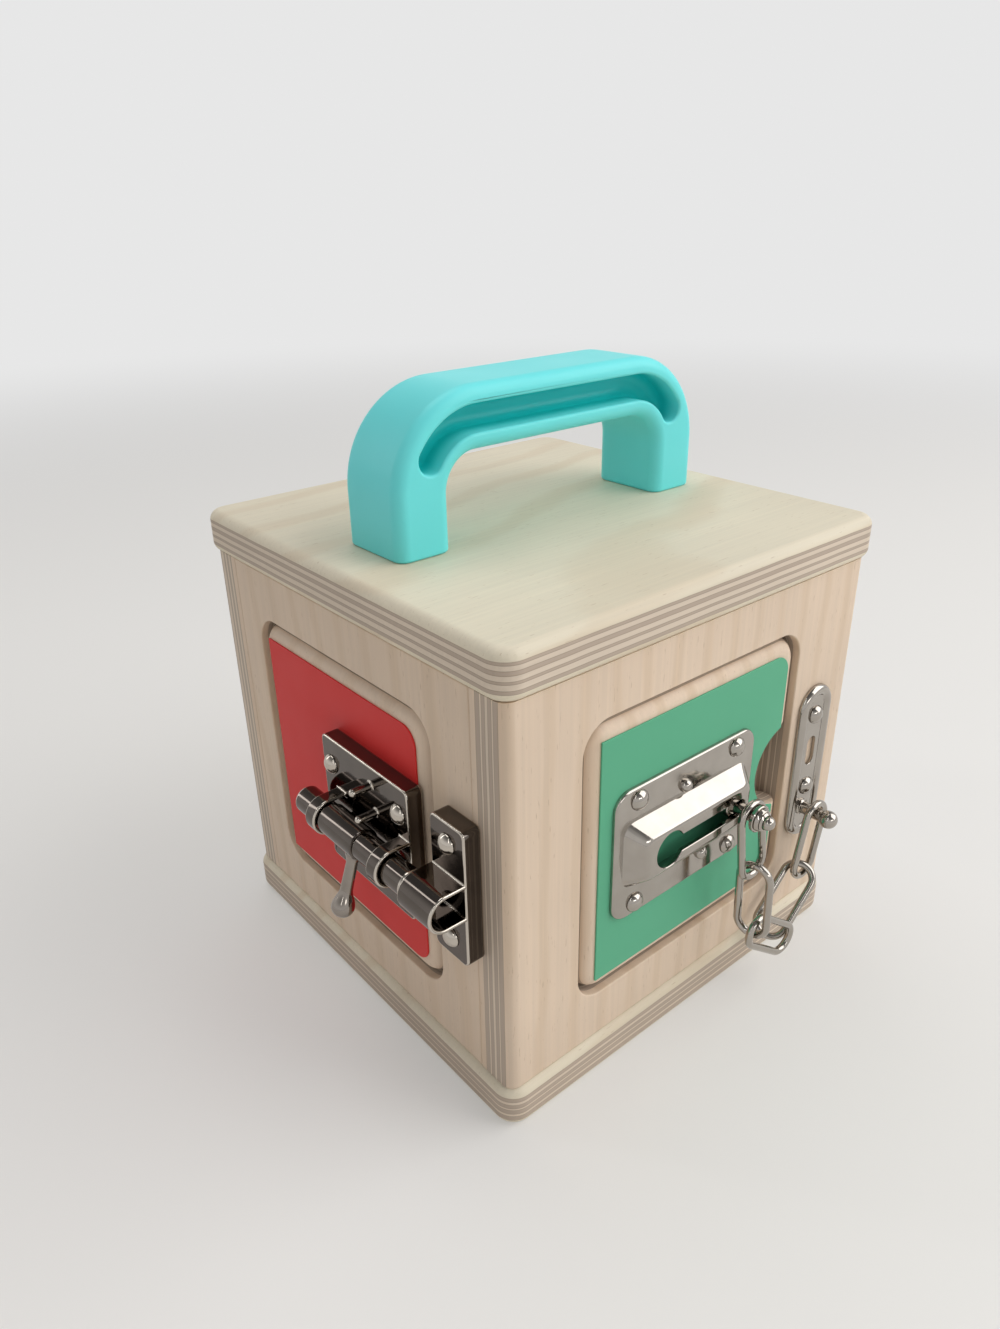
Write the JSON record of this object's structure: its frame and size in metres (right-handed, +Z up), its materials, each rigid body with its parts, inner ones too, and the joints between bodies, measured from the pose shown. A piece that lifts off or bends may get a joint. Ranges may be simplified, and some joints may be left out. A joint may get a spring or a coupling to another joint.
{
  "type": "lock box toy",
  "caption": "Wooden lock box toy: a plywood cube with coloured doors on every side, each held by its own metal lock, and a turquoise carrying handle on top",
  "frame": {"origin": "middle of the underside of the bottom board", "axes": "+Z up, -Y out of the green door, -X out of the red door, +Y out of the yellow door, +X out of the blue door"},
  "size_m": [0.194, 0.1903, 0.206],
  "materials": {
    "birch_ply": "bare birch plywood, sanded, layers showing on the edges",
    "dowel_beech": "bare beech",
    "turquoise_plastic": "satin moulded plastic",
    "red_sheet": "satin laminate sheet",
    "green_sheet": "satin laminate sheet",
    "yellow_sheet": "satin laminate sheet",
    "blue_sheet": "satin laminate sheet",
    "black_nickel": "polished black nickel plating",
    "bright_nickel": "polished nickel plating",
    "screw_steel": "polished nickel plating",
    "steel": "drawn steel"
  },
  "bodies": {
    "box": {"bottom_board": "birch_ply", "top_board": "birch_ply", "front_wall": "birch_ply", "back_wall": "birch_ply", "left_wall": "birch_ply", "right_wall": "birch_ply", "wall_dowels": "dowel_beech", "handle": "turquoise_plastic", "handle_screws": "steel", "keeper": "black_nickel", "keeper_screws": "screw_steel", "anchor_plate": "bright_nickel", "anchor_post": "bright_nickel", "anchor_screws": "bright_nickel", "flat_keeper": "bright_nickel", "flat_keeper_screws": "bright_nickel", "turn_post": "bright_nickel"},
    "red_door": {"red_door_panel": "birch_ply", "red_sheet": "red_sheet", "red_pivot_pins": "steel", "bolt_plate": "black_nickel", "bolt_plate_screws": "screw_steel"},
    "bolt_rod": {"bolt_rod": "black_nickel"},
    "bolt_lever": {"bolt_lever": "black_nickel"},
    "green_door": {"green_door_panel": "birch_ply", "green_sheet": "green_sheet", "green_pivot_pins": "steel", "slide_plate": "bright_nickel", "slide_plate_screws": "bright_nickel"},
    "chain_stud": {"chain_stud": "bright_nickel"},
    "chain_link_1": {"chain_link_1": "bright_nickel"},
    "chain_link_2": {"chain_link_2": "bright_nickel"},
    "chain_link_3": {"chain_link_3": "bright_nickel"},
    "chain_link_4": {"chain_link_4": "bright_nickel"},
    "chain_link_5": {"chain_link_5": "bright_nickel"},
    "yellow_door": {"yellow_door_panel": "birch_ply", "yellow_sheet": "yellow_sheet", "yellow_pivot_pins": "steel", "flat_bolt_plate": "bright_nickel", "flat_bolt_screws": "bright_nickel"},
    "flat_bolt": {"flat_bolt_bar": "bright_nickel"},
    "blue_door": {"blue_door_panel": "birch_ply", "blue_sheet": "blue_sheet", "blue_pivot_pins": "steel", "pull_knob": "bright_nickel"},
    "turn_button": {"turn_button": "bright_nickel"}
  },
  "joints": [
    {"name": "green_door_hinge", "type": "hinge", "parent": "box", "child": "green_door", "pos_m": [-0.0375, -0.073, 0.0795], "axis": [0, 0, -1], "range_deg": [0, 90]},
    {"name": "red_door_hinge", "type": "hinge", "parent": "box", "child": "red_door", "pos_m": [-0.073, 0.0375, 0.0795], "axis": [0, 0, -1], "range_deg": [0, 100]},
    {"name": "yellow_door_hinge", "type": "hinge", "parent": "box", "child": "yellow_door", "pos_m": [0.0375, 0.073, 0.0795], "axis": [0, 0, -1], "range_deg": [0, 100]},
    {"name": "blue_door_hinge", "type": "hinge", "parent": "box", "child": "blue_door", "pos_m": [0.073, -0.0375, 0.0795], "axis": [0, 0, -1], "range_deg": [0, 100]},
    {"name": "bolt_slide", "type": "slide", "parent": "red_door", "child": "bolt_rod", "axis": [0, -1, 0], "range_m": [0, 0.0095]},
    {"name": "bolt_lever_turn", "type": "hinge", "parent": "bolt_rod", "child": "bolt_lever", "pos_m": [-0.0903, -0.023, 0.082], "axis": [0, 1, 0], "range_deg": [-15, 110]},
    {"name": "chain_stud_slide", "type": "slide", "parent": "green_door", "child": "chain_stud", "axis": [-1, 0, 0], "range_m": [0, 0.032]},
    {"name": "chain_swing_1", "type": "hinge", "parent": "chain_stud", "child": "chain_link_1", "pos_m": [0.0105, -0.0905, 0.0795], "axis": [0, 1, 0], "range_deg": [-5, 8]},
    {"name": "chain_swing_2", "type": "hinge", "parent": "chain_link_1", "child": "chain_link_2", "pos_m": [0.01394, -0.0912, 0.05716], "axis": [0, 1, 0], "range_deg": [-10, 0]},
    {"name": "chain_swing_3", "type": "hinge", "parent": "chain_link_2", "child": "chain_link_3", "pos_m": [0.0143, -0.0927, 0.03256], "axis": [0, 1, 0], "range_deg": [-8, 43]},
    {"name": "chain_swing_5", "type": "hinge", "parent": "box", "child": "chain_link_5", "pos_m": [0.0565, -0.0857, 0.0565], "axis": [0, 1, 0], "range_deg": [-25, 5]},
    {"name": "chain_swing_4", "type": "hinge", "parent": "chain_link_5", "child": "chain_link_4", "pos_m": [0.05235, -0.0859, 0.03419], "axis": [0, 1, 0], "range_deg": [-46, 8]},
    {"name": "flat_bolt_slide", "type": "slide", "parent": "yellow_door", "child": "flat_bolt", "axis": [-1, 0, 0], "range_m": [0, 0.01]},
    {"name": "turn_button_turn", "type": "hinge", "parent": "box", "child": "turn_button", "pos_m": [0.0805, 0.057, 0.0795], "axis": [1, 0, 0], "range_deg": [0, 90]}
  ]
}
